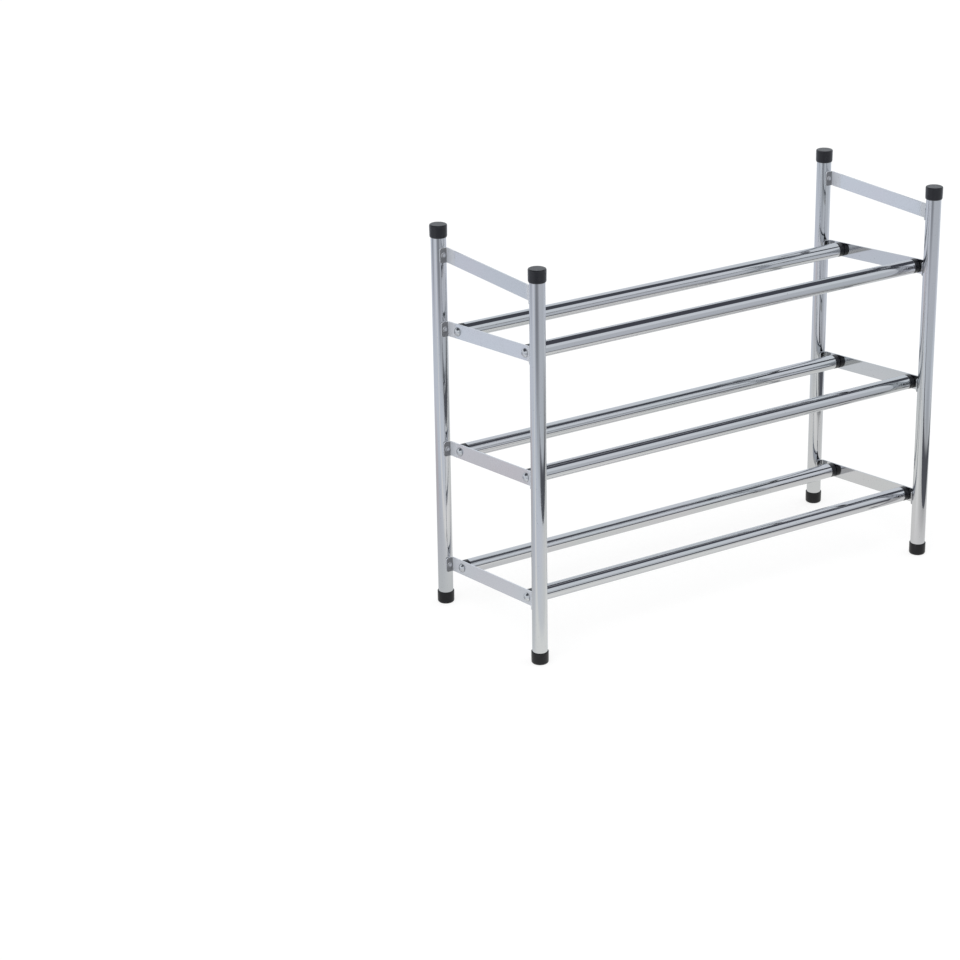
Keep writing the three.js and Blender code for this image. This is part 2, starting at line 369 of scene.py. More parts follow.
@dataclass(frozen=True)
class ChromePlate:
    """Bright chrome plating on drawn steel, with faint smears, small pits, fine lines and slow waves."""

    name: str
    grain: Grain
    colour: Colour = (0.527, 0.541, 0.552)
    tint: Colour = (0.540, 0.541, 0.560)
    edge_tint: Colour = (0.86, 0.87, 0.89)
    metallic: float = 1.0
    roughness: float = 0.055
    smear_roughness: float = 0.05
    tint_noise: Noise = Noise(9.0)
    tint_from: float = 0.35
    tint_to: float = 0.65
    smear_noise: Noise = Noise(55.0, detail=5.0, rough=0.6)
    smear_from: float = 0.50
    smear_to: float = 0.72
    haze_noise: Noise = Noise(420.0, detail=3.0)
    haze_share: float = 0.25
    line_noise: Noise = Noise(2600.0)
    line_depth: float = 0.004 * MILLIMETRE
    wave_noise: Noise = Noise(38.0, detail=1.0)
    wave_depth: float = 0.018 * MILLIMETRE
    pit_noise: Noise = Noise(700.0, detail=1.0)
    pit_from: float = 0.735
    pit_to: float = 0.79
    pit_colour: Colour = (0.26, 0.27, 0.28)
    pit_roughness: float = 0.2

    def material(self) -> bpy.types.Material:
        """Builds the material.

        Returns:
            The new material.
        """
        made, kit = empty_material(self.name)
        place = kit.place()
        drawn = kit.place(self.grain.value)
        drift = kit.noise(place, self.tint_noise).rise(self.tint_from, self.tint_to)
        smear = kit.noise(place, self.smear_noise).rise(self.smear_from, self.smear_to)
        haze = kit.noise(drawn, self.haze_noise)
        pits = kit.noise(place, self.pit_noise).rise(self.pit_from, self.pit_to)
        lines = kit.noise(drawn, self.line_noise)
        waves = kit.noise(place, self.wave_noise)
        smeared = self.roughness + self.smear_roughness * (smear + haze * self.haze_share)
        roughness = smeared + self.pit_roughness * pits
        height = (lines * self.line_depth + waves * self.wave_depth) * (1 / MILLIMETRE)
        base = kit.blend(drift, self.colour, self.tint)
        colour, metallic, roughness = self.plating(kit, base, roughness)
        inputs = {
            "Base Color": kit.blend(pits, colour, self.pit_colour),
            "Metallic": metallic,
            "Roughness": roughness,
            "Specular Tint": self.edge_tint,
            "Normal": kit.bump(height, MILLIMETRE),
        }
        kit.finish(kit.signal("ShaderNodeBsdfPrincipled", None, inputs))
        return made

    def plating(self, kit: NodeKit, colour: Signal, roughness: Signal) -> tuple[Signal, Number, Signal]:
        """Keeps the colour and the roughness, and gives the same metallic share everywhere."""
        return colour, self.metallic, roughness


@dataclass(frozen=True)
class SatinPlate(ChromePlate):
    """Satin plating on flat bars: matt near their ends, painted shade inside the bent ends and on the
    rivets.
    """

    colour: Colour = (0.640, 0.668, 0.705)
    tint: Colour = (0.655, 0.660, 0.702)
    metallic: float = 0.72
    roughness: float = 0.17
    smear_roughness: float = 0.08
    end_from: float = 77 * MILLIMETRE
    end_to: float = 83 * MILLIMETRE
    end_colour: Colour = (0.745, 0.775, 0.835)
    end_metallic: float = 0.10
    end_roughness: float = 0.42
    # Painted shade on the inner faces of the bent ends and on the rivet heads: where it starts and where
    # it is full, by distance from the middle, and its dark colour.
    painted_shade_from: float = 95.3 * MILLIMETRE
    painted_shade_to: float = 96.7 * MILLIMETRE
    inward_from: float = 0.30
    inward_to: float = 0.80
    painted_shade_colour: Colour = (0.215, 0.22, 0.235)

    def plating(self, kit: NodeKit, colour: Signal, roughness: Signal) -> tuple[Signal, Number, Signal]:
        """The plating at a place by its distance from the bar's middle and its facing, with painted shade
        near the bent ends.

        Args:
            colour: The colour of the middle.
            roughness: The roughness of the middle.

        Returns:
            The colour, the metallic share and the roughness.
        """
        normal = kit.signal("ShaderNodeTexCoord", output="Normal")
        y = kit.signal("ShaderNodeSeparateXYZ", None, {0: kit.place()}, output="Y")
        facing = kit.signal("ShaderNodeSeparateXYZ", None, {0: normal}, output="Y")
        away = abs(y)
        end = away.rise(self.end_from, self.end_to)
        # Painted shade: near the bent ends, faces turned to the middle of the bar (the flanges' inner
        # faces and the rivet heads) are blended to a dark colour, darker towards the rivets' rims.
        inward = (0 - facing * y / away).rise(self.inward_from, self.inward_to)
        bent = inward * away.rise(self.painted_shade_from, self.painted_shade_to)
        colour = kit.blend(bent, kit.blend(end, colour, self.end_colour), self.painted_shade_colour)
        metallic = self.metallic + end * (self.end_metallic - self.metallic)
        return colour, metallic, roughness + end * (self.end_roughness - self.roughness)


@dataclass(frozen=True)
class BlackPlastic:
    """Black moulded plastic with a fine texture and a little dust, rubbed smoother and paler in places."""

    name: str
    colour: Colour = (0.0050, 0.0052, 0.0090)
    rubbed_colour: Colour = (0.013, 0.0135, 0.018)
    roughness: float = 0.35
    rubbed_roughness: float = 0.26
    specular: float = 0.46
    rub_noise: Noise = Noise(160.0, detail=4.0, rough=0.6)
    rub_from: float = 0.50
    rub_to: float = 0.74
    texture_noise: Noise = Noise(2400.0)
    texture_depth: float = 0.035 * MILLIMETRE
    dust_noise: Noise = Noise(900.0)
    dust_from: float = 0.70
    dust_to: float = 0.80
    dust_colour: Colour = (0.055, 0.055, 0.056)
    dust_roughness: float = 0.15

    def material(self) -> bpy.types.Material:
        """Builds the material.

        Returns:
            The new material.
        """
        made, kit = empty_material(self.name)
        place = kit.place()
        rub = kit.noise(place, self.rub_noise).rise(self.rub_from, self.rub_to)
        dust = kit.noise(place, self.dust_noise).rise(self.dust_from, self.dust_to)
        texture = kit.noise(place, self.texture_noise)
        base = kit.blend(rub, self.colour, self.rubbed_colour)
        rubbed = self.roughness + rub * (self.rubbed_roughness - self.roughness)
        inputs = {
            "Base Color": kit.blend(dust, base, self.dust_colour),
            "Roughness": rubbed + self.dust_roughness * dust,
            "Specular IOR Level": self.specular,
            "Normal": kit.bump(texture, self.texture_depth),
        }
        kit.finish(kit.signal("ShaderNodeBsdfPrincipled", None, inputs))
        return made


class Finishes:
    """Makes each material once and gives it to the pieces."""

    KINDS = (
        ChromePlate("upright_chrome", Grain.ALONG_Z),
        SatinPlate("bar_chrome", Grain.ALONG_Y),
        ChromePlate("bright_bar_chrome", Grain.ALONG_Y),
        ChromePlate("wide_tube_chrome", Grain.ALONG_X),
        ChromePlate("thin_tube_chrome", Grain.ALONG_X),
        ChromePlate("screw_chrome", Grain.NONE, roughness=0.09),
        BlackPlastic("cap_plastic"),
        BlackPlastic("foot_plastic", colour=(0.0075, 0.0076, 0.0088), specular=0.28),
        BlackPlastic("rail_plastic"),
    )

    def __init__(self) -> None:
        """Builds every finish of the rack."""
        self.made = {kind.name: kind.material() for kind in self.KINDS}

    def dress(self, piece: bpy.types.Object, slot: str, finish: str = "") -> None:
        """Gives a piece a finish of one of the record's material slots.

        Args:
            piece: The piece.
            slot: The slot's name.
            finish: The finish's name, if it isn't the slot's.
        """
        piece.data.materials.clear()
        piece.data.materials.append(self.made[finish or slot])


def arc(centre: Point2, radius: float, start: float, end: float, steps: int) -> list[Point2]:
    """Points along an arc.

    Args:
        centre: The arc's centre.
        radius: Its radius.
        start: The angle of the first point.
        end: The angle of the last point.
        steps: Number of stretches between the points.

    Returns:
        The points in order.
    """
    angles = [start + (end - start) * step / steps for step in range(steps + 1)]
    x, y = centre
    return [(x + radius * math.cos(angle), y + radius * math.sin(angle)) for angle in angles]


def rounded(corners: Sequence[Point3], steps: int = CORNER_STEPS) -> list[Point2]:
    """Rounds the corners of an outline.

    A point on each side of a curve, FLAT_GUARD times as far from the corner as the curve's end, keeps the
    flat beside it shaded flat.

    Args:
        corners: The outline's corners as x, y and the radius there; radius 0 keeps a corner sharp.
        steps: Number of stretches in each rounded corner.

    Returns:
        The points of the closed outline.
    """
    points: list[Point2] = []
    count = len(corners)
    for index, (x, y, radius) in enumerate(corners):
        here = Vector((x, y))
        if radius == 0:
            points.append((x, y))
            continue
        before = (Vector(corners[index - 1][:2]) - here).normalized()
        after = (Vector(corners[(index + 1) % count][:2]) - here).normalized()
        half = before.angle(after) / 2
        reach = radius / math.tan(half)
        centre = here + (before + after).normalized() * (radius / math.sin(half))
        start = here + before * reach - centre
        end = here + after * reach - centre
        first = math.atan2(start.y, start.x)
        turn = (math.atan2(end.y, end.x) - first + math.pi) % FULL_TURN - math.pi
        support = before * (reach * FLAT_GUARD) + here
        points.append((support.x, support.y))
        points += arc((centre.x, centre.y), radius, first, first + turn, steps)
        support = after * (reach * FLAT_GUARD) + here
        points.append((support.x, support.y))
    return points


def turned(direction: Vector, origin: Vector) -> Matrix:
    """A matrix that points +Z along a direction and moves the origin.

    Args:
        direction: One of the main axes, or its opposite.
        origin: Where the origin goes.

    Returns:
        The matrix.
    """
    return Matrix.Translation(origin) @ UP.rotation_difference(direction).to_matrix().to_4x4()


def link(made: bpy.types.Object) -> bpy.types.Object:
    """Puts a new object into the scene."""
    bpy.context.scene.collection.objects.link(made)
    return made


class Shape:
    """Collects the faces of one piece and turns them into an object."""

    SMOOTH_BELOW = math.radians(28)

    def __init__(self) -> None:
        """Starts with no faces."""
        self.mesh = bmesh.new()

    def rings(self, rings: Sequence[Sequence[Vector]], looped: bool, capped: bool) -> "Shape":
        """Joins rings of points with faces.

        Args:
            rings: The rings in order; a ring of one point is a tip.
            looped: True if the last ring joins the first.
            capped: True if the first and the last ring are filled.

        Returns:
            This shape.
        """
        made = [[self.mesh.verts.new(point) for point in ring] for ring in rings]
        pairs = list(zip(made, made[1:] + made[:1] if looped else made[1:]))
        for low, high in pairs:
            count = max(len(low), len(high))
            for index in range(count):
                following = (index + 1) % count
                below = [low[index % len(low)], low[following % len(low)]]
                above = [high[following % len(high)], high[index % len(high)]]
                self.mesh.faces.new(list(dict.fromkeys(below + above)))
        if capped:
            self.mesh.faces.new(made[0][::-1])
            self.mesh.faces.new(made[-1])
        return self

    def face(self, corners: Iterable[Point3]) -> "Shape":
        """Adds one flat face."""
        self.mesh.faces.new([self.mesh.verts.new(corner) for corner in corners])
        return self

    def lathe(self, profile: Sequence[Point2], matrix: Matrix, sides: int) -> "Shape":
        """A solid of revolution about +Z.

        Args:
            profile: Points of radius and height; it closes on itself unless it starts on the axis.
            matrix: Where the solid goes.
            sides: Number of sides.

        Returns:
            This shape.
        """
        angles = [FULL_TURN * step / sides for step in range(sides)]
        rings = []
        for radius, height in profile:
            around = angles if radius > 0 else angles[:1]
            circle = [(radius * math.cos(angle), radius * math.sin(angle), height) for angle in around]
            rings.append([matrix @ Vector(point) for point in circle])
        on_axis = profile[0][0] == 0
        return self.rings(rings, looped=not on_axis, capped=False)

    def piece(self, name: str) -> bpy.types.Object:
        """Makes the object.

        Args:
            name: The object's name.

        Returns:
            The object, in the scene, with smooth curves and sharp edges.
        """
        bmesh.ops.recalc_face_normals(self.mesh, faces=self.mesh.faces)
        data = bpy.data.meshes.new(name)
        self.mesh.to_mesh(data)
        self.mesh.free()
        Shape.smooth(data)
        return link(bpy.data.objects.new(name, data))

    @classmethod
    def smooth(cls, data: bpy.types.Mesh) -> None:
        """Smooths a mesh's curves and keeps its sharp edges."""
        data.shade_smooth()
        data.set_sharp_from_angle(angle=cls.SMOOTH_BELOW)


def cut(piece: bpy.types.Object, cutter: Shape) -> None:
    """Cuts a shape out of a piece.

    Args:
        piece: The piece, whose mesh is replaced.
        cutter: The closed shape to take away.
    """
    tool = cutter.piece(piece.name + "_cutter")
    modifier = piece.modifiers.new("cut", "BOOLEAN")
    modifier.operation = "DIFFERENCE"
    modifier.solver = "EXACT"
    modifier.object = tool
    graph = bpy.context.evaluated_depsgraph_get()
    data = bpy.data.meshes.new_from_object(piece.evaluated_get(graph))
    piece.modifiers.remove(modifier)
    piece.data = data
    bpy.data.objects.remove(tool)
    merge_touching(data)
    Shape.smooth(data)


def merge_touching(data: bpy.types.Mesh) -> None:
    """Dissolves edges shorter than TOUCHING, whose faces have next to no area.

    Args:
        data: The mesh, which is changed.
    """
    whole = bmesh.new()
    whole.from_mesh(data)
    bmesh.ops.dissolve_degenerate(whole, dist=TOUCHING, edges=whole.edges)
    whole.to_mesh(data)
    whole.free()


def peg(
    radius: float, start: float, end: float, matrix: Matrix, sides: int, shape: Optional[Shape] = None
) -> Shape:
    """A plain round peg, used to cut a hole.

    Args:
        radius: The peg's radius.
        start: Height of its first end.
        end: Height of its second end.
        matrix: Where the peg goes.
        sides: Number of sides.
        shape: The shape to add it to, if there is one.

    Returns:
        The shape with the peg.
    """
    profile = [(0.0, start), (radius, start), (radius, end), (0.0, end)]
    return (shape or Shape()).lathe(profile, matrix, sides)


@dataclass
class Part:
    """What every piece has: a CAD node to stand for, a body to ride on and a slot of the record.

    The finish is named only where it isn't the slot's own.
    """

    node: str
    body: str
    slot: str
    low: Vector = field(init=False)
    high: Vector = field(init=False)
    finish: str = ""

    def __post_init__(self) -> None:
        """Reads the node's corners from the frame."""
        self.low, self.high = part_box(self.node)

    @property
    def middle(self) -> Vector:
        """The middle of the node's box."""
        return (self.low + self.high) / 2

    @property
    def size(self) -> Vector:
        """The size of the node's box."""
        return self.high - self.low

    def build(self) -> bpy.types.Object:
        """Builds the piece's mesh."""
        raise NotImplementedError

    def dress(self, finishes: Finishes) -> bpy.types.Object:
        """Builds the piece, gives it its finish and puts it in the place of its node.

        Args:
            finishes: The rack's finishes.

        Returns:
            The finished piece.
        """
        piece = self.build()
        finishes.dress(piece, self.slot, self.finish)
        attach(piece, self.body)
        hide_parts(self.node)
        log.info("%s: %d faces on %s", piece.name, len(piece.data.polygons), self.body)
        return piece


@dataclass
class Rivet:
    """A rivet through the bent end of a bar and the near wall of an upright."""

    head_radius: float = 3.5 * MILLIMETRE
    head_height: float = 1.6 * MILLIMETRE
    shank_radius: float = 2.0 * MILLIMETRE
    grip: float = 3.2 * MILLIMETRE
    tail_radius: float = 2.8 * MILLIMETRE
    tail_length: float = 2.4 * MILLIMETRE
    hole_gap: float = 0.15 * MILLIMETRE
    dome_steps: int = 6
    tail_steps: int = 4
    sides: int = 32

    def profile(self) -> list[Point2]:
        """The rivet's outline from the crown of its head, which is below height 0, to its tail.

        Returns:
            Points of radius and height.
        """
        squash = self.head_height / self.head_radius
        dome = arc((0, 0), self.head_radius, -QUARTER, 0, self.dome_steps)
        crown = [(max(radius, 0.0), height * squash) for radius, height in dome]
        crown[0] = (0.0, crown[0][1])
        stretch = self.tail_length / self.tail_radius
        tail = arc((0, 0), self.tail_radius, 0, QUARTER, self.tail_steps)
        end = [(radius, self.grip + height * stretch) for radius, height in tail]
        end[-1] = (0.0, end[-1][1])
        return [*crown, (self.shank_radius, 0.0), (self.shank_radius, self.grip), *end]

    def hole(self, matrix: Matrix, shape: Shape) -> Shape:
        """Adds the hole that the rivet needs to a cutter."""
        radius = self.shank_radius + self.hole_gap
        return peg(radius, -self.head_height, self.grip + self.head_height, matrix, self.sides, shape)

    def matrix(self, x: float, flange: float, height: float, side: Side) -> Matrix:
        """Where a rivet goes.

        Args:
            x: Place along X.
            flange: Distance from the middle of the rack to the near face of the bent end.
            height: Height above the floor.
            side: Front or back.

        Returns:
            A matrix that points the rivet from its head to its tail.
        """
        outward = Vector((0, side.value, 0))
        return turned(outward, Vector((x, side.value * flange, height)))


@dataclass
class Bar(Part):
    """A flat bar of an end frame, bent over at both ends, with its two rivets."""

    rise: float = 0.0
    screwed: bool = False
    height: float = 19 * MILLIMETRE
    thickness: float = 1.8 * MILLIMETRE
    bend_radius: float = 1.5 * MILLIMETRE
    web_offset: float = 6 * MILLIMETRE
    flange_reach: float = 5 * MILLIMETRE
    flange_face: float = 99.2 * MILLIMETRE
    corner_radius: float = 3 * MILLIMETRE
    edge: float = 0.22 * MILLIMETRE
    upright_span: float = 218 * MILLIMETRE
    screw_place: float = 75 * MILLIMETRE
    screw_hole: float = 2.8 * MILLIMETRE
    overrun: float = 2 * MILLIMETRE
    bend_steps: int = 10
    corner_steps: int = 6
    rivet: Rivet = field(default_factory=Rivet)

    @property
    def axis(self) -> float:
        """Place along X of the uprights that the bar joins."""
        return self.low.x + self.flange_reach

    def level(self, y: float) -> float:
        """Height of the bar's middle line at a place from front to back."""
        return self.middle.z - y * self.rise / self.upright_span

    def stations(self) -> list[tuple[Vector, Vector, float, float]]:
        """Places along the bar, from the front bent end to the back one.

        Returns:
            For each place its point in plan, the way outward, half the thickness and half the height.
        """
        middle = self.thickness / 2
        bend = self.bend_radius + middle
        turn_x = self.web_offset - middle - bend
        turn_y = self.flange_face - middle - bend
        radius, half = self.corner_radius, self.height / 2
        first_angle = math.acos(1 - self.edge / radius)
        ends = []
        for step in range(self.corner_steps + 1):
            angle = first_angle + (QUARTER - first_angle) * step / self.corner_steps
            reach = -self.flange_reach + radius * (1 - math.cos(angle))
            ends.append((reach, half - radius + radius * math.sin(angle)))
        lip = (-self.flange_reach, ends[0][1] - self.edge, middle - self.edge)
        flange = [lip] + [(reach, top, middle) for reach, top in ends]
        flange.append((turn_x - self.edge, half, middle))
        y = self.flange_face - middle
        front = [(Vector((x, -y)), Vector((0, -1)), thick, top) for x, top, thick in flange]
        for step in range(self.bend_steps + 1):
            angle = -QUARTER + QUARTER * step / self.bend_steps
            out = Vector((math.cos(angle), math.sin(angle)))
            front.append((Vector((turn_x, -turn_y)) + out * bend, out, middle, half))
        front.append((Vector((turn_x + bend, -turn_y + self.edge)), Vector((1, 0)), middle, half))
        back = []
        for place, out, thick, top in reversed(front):
            back.append((Vector((place.x, -place.y)), Vector((out.x, -out.y)), thick, top))
        return front + back

    def section(self, point: Vector, out: Vector, thick: float, half: float) -> list[Vector]:
        """The bar's cross-section at a place, with small bevels along its edges.

        Args:
            point: The place in plan.
            out: The way outward there.
            thick: Half the thickness.
            half: Half the height.

        Returns:
            The corners of the section.
        """
        edge = min(self.edge, thick / 2)
        ring = [(thick, half - edge), (thick - edge, half), (edge - thick, half), (-thick, half - edge)]
        ring += [(across, -height) for across, height in reversed(ring)]
        corners = []
        for across, height in ring:
            place = point + out * across
            corners.append(Vector((self.axis + place.x, place.y, self.level(place.y) + height)))
        return corners

    def rivets(self) -> list[Matrix]:
        """Where the bar's two rivets go.

        Returns:
            A matrix for each rivet, the front one first.
        """
        near = self.flange_face - self.thickness
        levels = {side: self.level(side.value * self.flange_face) for side in Side}
        return [self.rivet.matrix(self.axis, near, height, side) for side, height in levels.items()]

    def build(self) -> bpy.types.Object:
        """Builds the bent bar, drills it and adds its rivets.

        Returns:
            The bar.
        """
        rings = [self.section(*station) for station in self.stations()]
        piece = Shape().rings(rings, looped=False, capped=True).piece(self.node + "_plate")
        holes = Shape()
        if self.screwed:
            for side in Side:
                y = side.value * self.screw_place
                place = Vector((self.axis, y, self.level(y)))
                end = self.web_offset + self.overrun
                peg(self.screw_hole, 0, end, turned(Vector((1, 0, 0)), place), self.rivet.sides, holes)
        for matrix in self.rivets():
            self.rivet.hole(matrix, holes)
        cut(piece, holes)
        outline = self.rivet.profile()
        join(piece, [Shape().lathe(outline, matrix, self.rivet.sides) for matrix in self.rivets()])
        return piece


def join(piece: bpy.types.Object, shapes: Iterable[Shape]) -> None:
    """Adds closed shapes to a piece's mesh.

    Args:
        piece: The piece.
        shapes: The shapes, which touch it but don't share its faces.
    """
    whole = bmesh.new()
    whole.from_mesh(piece.data)
    for shape in shapes:
        bmesh.ops.recalc_face_normals(shape.mesh, faces=shape.mesh.faces)
        added = bpy.data.meshes.new("added")
        shape.mesh.to_mesh(added)
        shape.mesh.free()
        whole.from_mesh(added)
        bpy.data.meshes.remove(added)
    whole.to_mesh(piece.data)
    whole.free()
    Shape.smooth(piece.data)


@dataclass
class Upright(Part):
    """A round upright tube with a rivet hole for each bar."""

    side: Side = Side.FRONT
    hole_heights: Sequence[float] = ()
    wall: float = 0.8 * MILLIMETRE
    ring_gap: float = 5 * MILLIMETRE
    sides: int = 80
    rivet: Rivet = field(default_factory=Rivet)

    def build(self) -> bpy.types.Object:
        """Builds the tube and drills it.

        Returns:
            The tube.
        """
        radius = self.size.x / 2
        gaps = (-self.ring_gap, self.ring_gap)
        rings = sorted(height + gap for height in self.hole_heights for gap in gaps)
        outer = [(radius, height) for height in (self.low.z, *rings, self.high.z)]
        inner = [(radius - self.wall, height) for _, height in reversed(outer)]
        origin = Vector((self.middle.x, self.middle.y, 0))
        tube = Shape().lathe([*outer, *inner], Matrix.Translation(origin), self.sides)
        piece = tube.piece(self.node + "_tube")
        holes = Shape()
        flange = abs(self.middle.y) - radius - self.rivet.shank_radius
        for height in self.hole_heights:
            self.rivet.hole(self.rivet.matrix(self.middle.x, flange, height, self.side), holes)
        cut(piece, holes)
        return piece


@dataclass
class Cup(Part):
    """A push-on cup of black plastic: a cap above or a foot below an upright."""

    opens_down: bool = True
    rim_radius: float = 10.85 * MILLIMETRE
    closed_radius: float = 11 * MILLIMETRE
    bore: float = 9.8 * MILLIMETRE
    roof: float = 3 * MILLIMETRE
    edge: float = 1.5 * MILLIMETRE
    roll_depth: float = 0.8 * MILLIMETRE
    roll_height: float = 2.2 * MILLIMETRE
    bore_edge: float = 0.8 * MILLIMETRE
    roll_steps: int = 7
    sides: int = 72

    def roll(self) -> list[Point3]:
        """The outline of the open rim, where the wall curves in towards the upright.

        Returns:
            Corners as radius, height and 0, because the curve is already drawn.
        """
        start = self.rim_radius - self.roll_depth
        quarter = arc((0.0, 0.0), 1.0, -QUARTER, 0.0, self.roll_steps)
        return [(start + x * self.roll_depth, (1 + y) * self.roll_height, 0.0) for x, y in quarter]

    def build(self) -> bpy.types.Object:
        """Builds the cup.

        Returns:
            The cup.
        """
        height = self.size.z
        corners = [
            (self.bore, height - self.roof, self.bore_edge),
            (self.bore, 0.0, 0.0),
            *self.roll(),
            (self.closed_radius, height, self.edge),
        ]
        around = rounded([(0.0, height - self.roof, 0.0), *corners, (0.0, height, 0.0)])
        mouth = self.low.z if self.opens_down else self.high.z
        direction = UP if self.opens_down else -UP
        origin = Vector((self.middle.x, self.middle.y, mouth))
        return Shape().lathe(around, turned(direction, origin), self.sides).piece(self.node + "_cup")


@dataclass
class TurnedPart(Part):
    """A piece of a rail, turned about the rail's line."""

    sides: int = 80

    def matrix(self, toward: int = 1) -> Matrix:
        """Points +Z along the rail, from the piece's start.

        Args:
            toward: 1 for a piece that points right, -1 for one that points left.

        Returns:
            The matrix.
        """
        start = self.low.x if toward > 0 else self.high.x
        return turned(Vector((toward, 0, 0)), Vector((start, self.middle.y, self.middle.z)))

    def spin(self, corners: Sequence[Point3], word: str, steps: int, toward: int = 1) -> bpy.types.Object:
        """Turns an outline about the rail's line.

        Args:
            corners: The outline's corners as radius, distance from the start and corner radius.
            word: The word that ends the piece's name.
            steps: Number of stretches in each rounded corner.
            toward: 1 for a piece that points right, -1 for one that points left.

        Returns:
            The piece.
        """
        shape = Shape().lathe(rounded(corners, steps), self.matrix(toward), self.sides)
        return shape.piece(f"{self.node}_{word}")


@dataclass
class WideTube(TurnedPart):
    """The wide tube of a rail, open at both ends, with its ends a little rounded."""

    wall: float = 0.7 * MILLIMETRE
    lip: float = 0.2 * MILLIMETRE

    def build(self) -> bpy.types.Object:
        """Builds the tube.

        Returns:
            The tube.
        """
        radius, length = self.size.z / 2, self.size.x
        bore = radius - self.wall
        corners = [(bore, 0.0), (radius, 0.0), (radius, length), (bore, length)]
        return self.spin([(*corner, self.lip) for corner in corners], "shell", steps=3)


@dataclass
class ThinTube(TurnedPart):
    """The thin tube of a rail with its threaded insert and its glide."""

    radius: float = 7.7 * MILLIMETRE
    wall: float = 0.8 * MILLIMETRE
    screw_bore: float = 2.8 * MILLIMETRE
    insert_length: float = 14 * MILLIMETRE
    glide_length: float = 20 * MILLIMETRE
    glide_wall: float = 2.2 * MILLIMETRE
    spigot_length: float = 10 * MILLIMETRE
    edge: float = 0.3 * MILLIMETRE

    def build(self) -> bpy.types.Object:
        """Builds the tube, its insert and its glide.

        Returns:
            The three in one piece.
        """
        glide_radius, length = self.size.z / 2, self.size.x
        bore = self.radius - self.wall
        glide_start = length - self.glide_length
        glide_bore = bore - self.glide_wall
        corners = [
            (self.screw_bore, 0.0, self.edge),
            (self.radius, 0.0, self.edge),
            (self.radius, glide_start, 0.0),
            (glide_radius, glide_start, self.edge),
            (glide_radius, length, self.edge),
            (glide_bore, length, self.edge),
            (glide_bore, glide_start - self.spigot_length, 0.0),
            (bore, glide_start - self.spigot_length, 0.0),
            (bore, self.insert_length, 0.0),
            (self.screw_bore, self.insert_length, 0.0),
        ]
        return self.spin(corners, "shell", steps=3)


@dataclass
class MouthBush(TurnedPart):
    """The black bush in the mouth of a wide tube, in which the thin tube slides."""

    head_length: float = 6 * MILLIMETRE
    bore: float = 8.0 * MILLIMETRE
    sleeve_radius: float = 8.5 * MILLIMETRE
    front_edge: float = 0.7 * MILLIMETRE
    back_edge: float = 0.25 * MILLIMETRE

    def build(self) -> bpy.types.Object:
        """Builds the bush.

        Returns:
            The bush.
        """
        radius, length = self.size.z / 2, self.size.x
        corners = [
            (self.bore, 0.0, self.back_edge),
            (radius, 0.0, self.front_edge),
            (radius, self.head_length, self.back_edge),
            (self.sleeve_radius, self.head_length, 0.0),
            (self.sleeve_radius, length, 0.0),
            (self.bore, length, 0.0),
        ]
        return self.spin(corners, "ring", steps=4)


@dataclass
class EndPlug(TurnedPart):
    """The black plug at the right end of a wide tube, held against the shelf bar by a screw."""

    head_length: float = 7 * MILLIMETRE
    bore: float = 2.8 * MILLIMETRE
    spigot_radius: float = 8.5 * MILLIMETRE
    front_edge: float = 0.7 * MILLIMETRE
    back_edge: float = 0.25 * MILLIMETRE

    def build(self) -> bpy.types.Object:
        """Builds the plug.

        Returns:
            The plug.
        """
        radius, length = self.size.z / 2, self.size.x
        corners = [
            (self.bore, 0.0, 0.0),
            (radius, 0.0, self.front_edge),
            (radius, self.head_length, self.back_edge),
            (self.spigot_radius, self.head_length, 0.0),
            (self.spigot_radius, length, self.front_edge),
            (self.bore, length, 0.0),
        ]
        return self.spin(corners, "collar", steps=4, toward=-1)


@dataclass
class Screw(TurnedPart):
    """A screw with a domed head and a shallow cross recess."""

    toward: int = 1
    head_height: float = 3.8 * MILLIMETRE
    shank_radius: float = 2.5 * MILLIMETRE
    rim: float = 0.35 * MILLIMETRE
    thread_pitch: float = 0.8 * MILLIMETRE
    thread_depth: float = 0.3 * MILLIMETRE
    recess_reach: float = 1.8 * MILLIMETRE
    recess_width: float = 0.8 * MILLIMETRE
    recess_depth: float = 0.6 * MILLIMETRE
    dome_steps: int = 10
    sides: int = 48

    def build(self) -> bpy.types.Object:
        """Builds the screw and cuts its recess.

        Returns:
            The screw.
        """
        radius, length = self.size.z / 2, self.size.x
        rise = self.head_height - self.rim
        dome_radius = (radius**2 + rise**2) / (2 * rise)
        reach = math.asin(radius / dome_radius)
        dome = arc((0, dome_radius), dome_radius, -QUARTER, -QUARTER + reach, self.dome_steps)
        dome[0] = (0.0, 0.0)
        threads = []
        count = int((length - self.head_height) / self.thread_pitch)
        for turn in range(1, count):
            at = self.head_height + turn * self.thread_pitch
            threads.append((self.shank_radius - self.thread_depth, at))
            threads.append((self.shank_radius, at + self.thread_pitch / 2))
        profile = [
            *dome,
            (radius, self.head_height),
            (self.shank_radius, self.head_height),
            *threads,
            (self.shank_radius - self.thread_depth, length),
            (0.0, length),
        ]
        matrix = self.matrix(self.toward)
        piece = Shape().lathe(profile, matrix, self.sides).piece(self.node + "_screw")
        cut(piece, self.recess(matrix))
        return piece

    def recess(self, matrix: Matrix) -> Shape:
        """The cross that is cut into the head.

        Args:
            matrix: Where the screw goes.

        Returns:
            The cutter.
        """
        reach, half = self.recess_reach, self.recess_width / 2
        arm = [(half, -half), (reach, -half), (reach, half)]
        turns = [Matrix.Rotation(QUARTER * turn, 2) for turn in range(4)]
        outline = [turn @ Vector(corner) for turn in turns for corner in arm]
        rings = []
        for height in (-self.recess_depth, self.recess_depth):
            rings.append([matrix @ Vector((*corner, height)) for corner in outline])
        return Shape().rings(rings, looped=False, capped=True)


